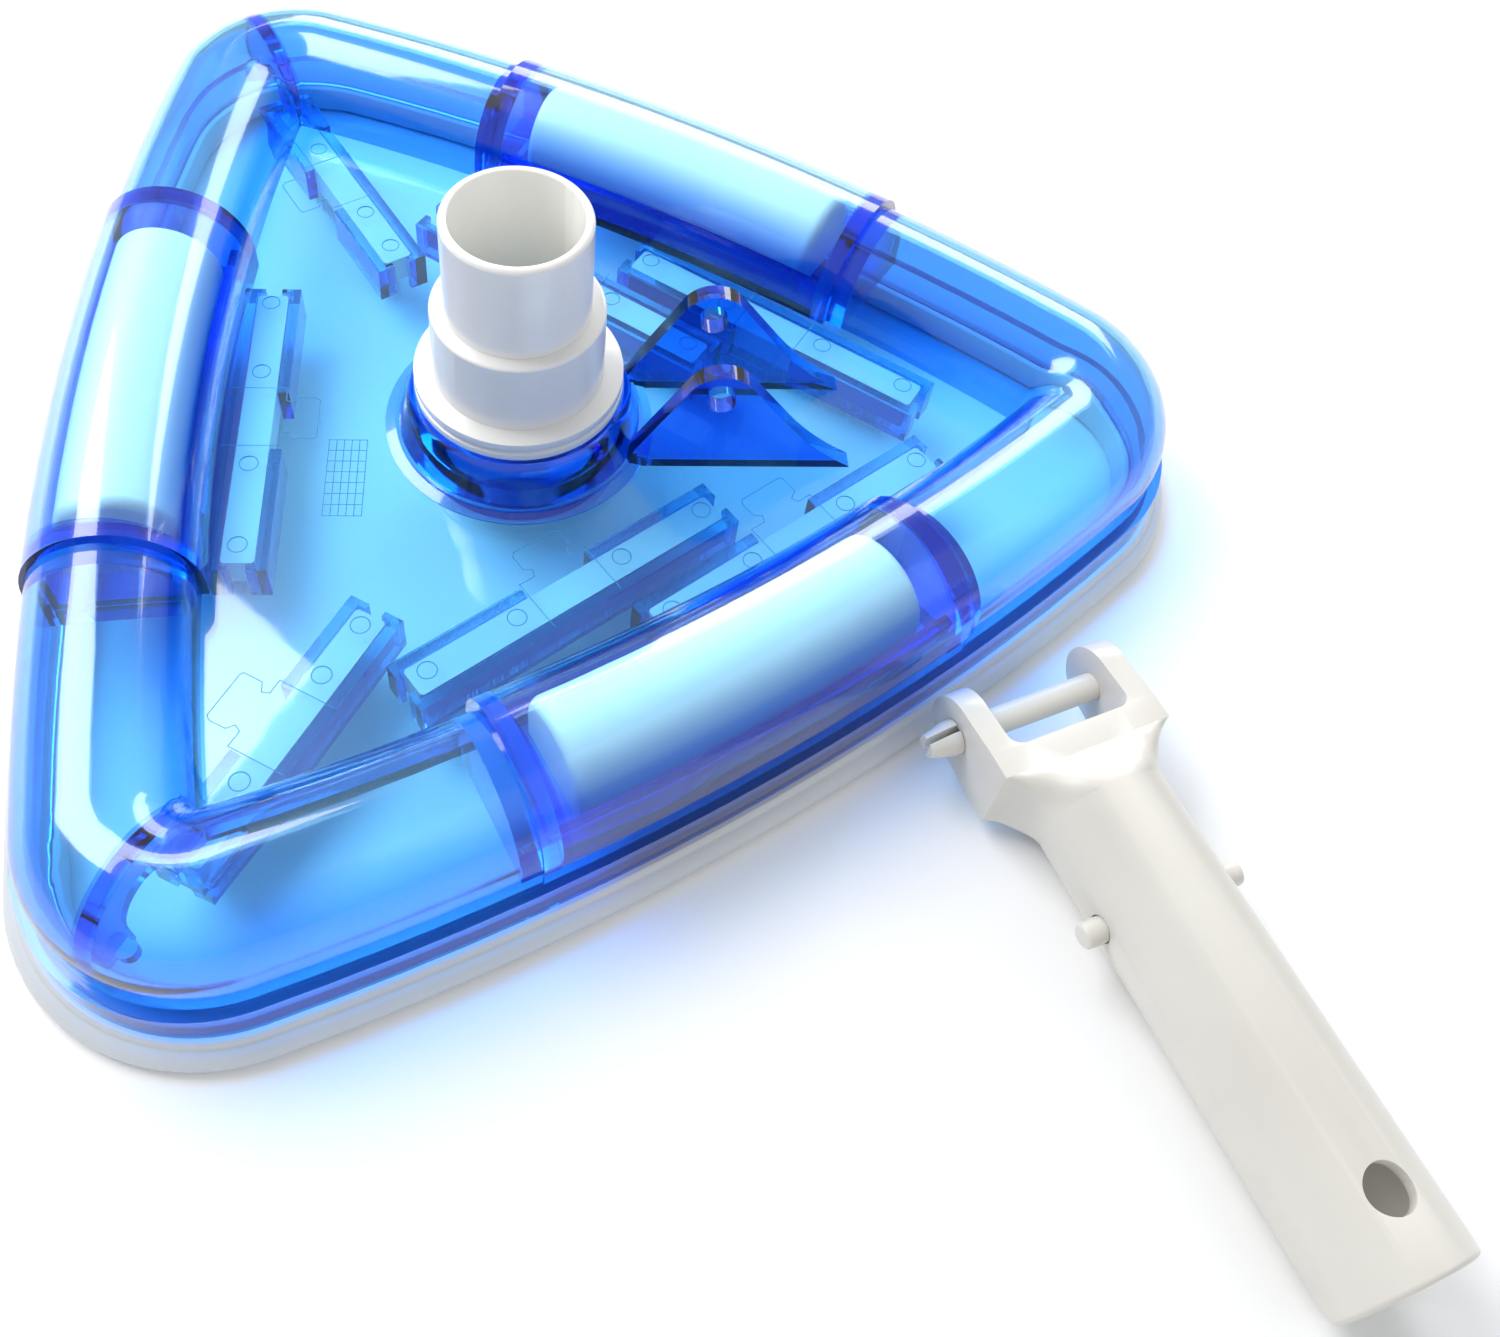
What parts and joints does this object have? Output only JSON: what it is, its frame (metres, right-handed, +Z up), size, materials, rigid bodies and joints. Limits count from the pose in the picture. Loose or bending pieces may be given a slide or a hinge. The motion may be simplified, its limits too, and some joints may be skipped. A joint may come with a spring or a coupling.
{
  "type": "manual pool vacuum head",
  "caption": "Weighted triangular pool vacuum head in clear blue plastic with a stepped swivel hose spigot, brush strips underneath, a soft bumper and a loose fork handle with snap buttons.",
  "frame": {"origin": "the hose axis at floor level, under the middle of the head", "axes": "+Z up along the hose axis, +X towards the nose corner beyond the ears, +Y towards the back weight"},
  "size_m": [0.2775, 0.3401, 0.0814],
  "materials": {
    "clear_blue": "clear blue, glossy, moulded",
    "bumper": "soft white vinyl",
    "weight": "smooth white coat",
    "brush_back": "moulded white",
    "bristle": "white nylon bristle",
    "washer": "slippery white",
    "white_gloss": "white, glossy, moulded",
    "ivory": "warm white, satin, moulded"
  },
  "bodies": {
    "head": {"shell": "clear_blue", "bumper": "bumper", "weight_left": "weight", "weight_tray_left": "clear_blue", "weight_front": "weight", "weight_tray_front": "clear_blue", "weight_back": "weight", "weight_tray_back": "clear_blue", "brush_back_left": "brush_back", "bristles_left": "bristle", "brush_back_front_inner": "brush_back", "bristles_front_inner": "bristle", "brush_back_front_outer": "brush_back", "bristles_front_outer": "bristle", "brush_back_back_inner": "brush_back", "bristles_back_inner": "bristle", "brush_back_back_outer": "brush_back", "bristles_back_outer": "bristle", "brush_back_front_corner": "brush_back", "bristles_front_corner": "bristle", "brush_back_back_corner": "brush_back", "bristles_back_corner": "bristle", "swivel_washer": "washer"},
    "hose_swivel_part": {"hose_spigot": "white_gloss", "swivel_retaining_ring": "white_gloss"},
    "pin": {"pivot_pin": "ivory"},
    "handle": {"handle": "ivory", "clip_bow": "ivory"},
    "button_right": {"snap_button_right": "ivory"},
    "button_left": {"snap_button_left": "ivory"},
    "leg_right": {"clip_leg_right": "ivory"},
    "leg_left": {"clip_leg_left": "ivory"}
  },
  "joints": [
    {"name": "hose_swivel", "type": "hinge", "parent": "head", "child": "hose_swivel_part", "pos_m": [0, 0, 0.0472], "axis": [0, 0, 1], "continuous": true},
    {"name": "handle_lift", "type": "slide", "parent": "head", "child": "pin", "axis": [0, 0, 1], "range_m": [0, 0.06]},
    {"name": "handle_pivot", "type": "hinge", "parent": "pin", "child": "handle", "pos_m": [0.1105, -0.075, 0.0143], "axis": [-0.9367, -0.3502, 0], "range_deg": [0, 60]},
    {"name": "button_right_press", "type": "slide", "parent": "handle", "child": "button_right", "axis": [-0.9367, -0.3502, 0], "range_m": [0, 0.0044], "stiffness_N_per_m": 500},
    {"name": "button_left_press", "type": "slide", "parent": "handle", "child": "button_left", "axis": [0.9367, 0.3502, 0], "range_m": [0, 0.0044], "stiffness_N_per_m": 500},
    {"name": "leg_right_bend", "type": "hinge", "parent": "handle", "child": "leg_right", "pos_m": [0.12405, -0.10025, 0.0143], "axis": [0, 0, -1], "range_deg": [0, 12.5]},
    {"name": "leg_left_bend", "type": "hinge", "parent": "handle", "child": "leg_left", "pos_m": [0.11684, -0.10295, 0.0143], "axis": [0, 0, 1], "range_deg": [0, 12.5]}
  ],
  "couplings": [
    {"joint": "leg_right_bend", "follows": "button_right_press", "rad_per_m": 49},
    {"joint": "leg_left_bend", "follows": "button_left_press", "rad_per_m": 49}
  ]
}
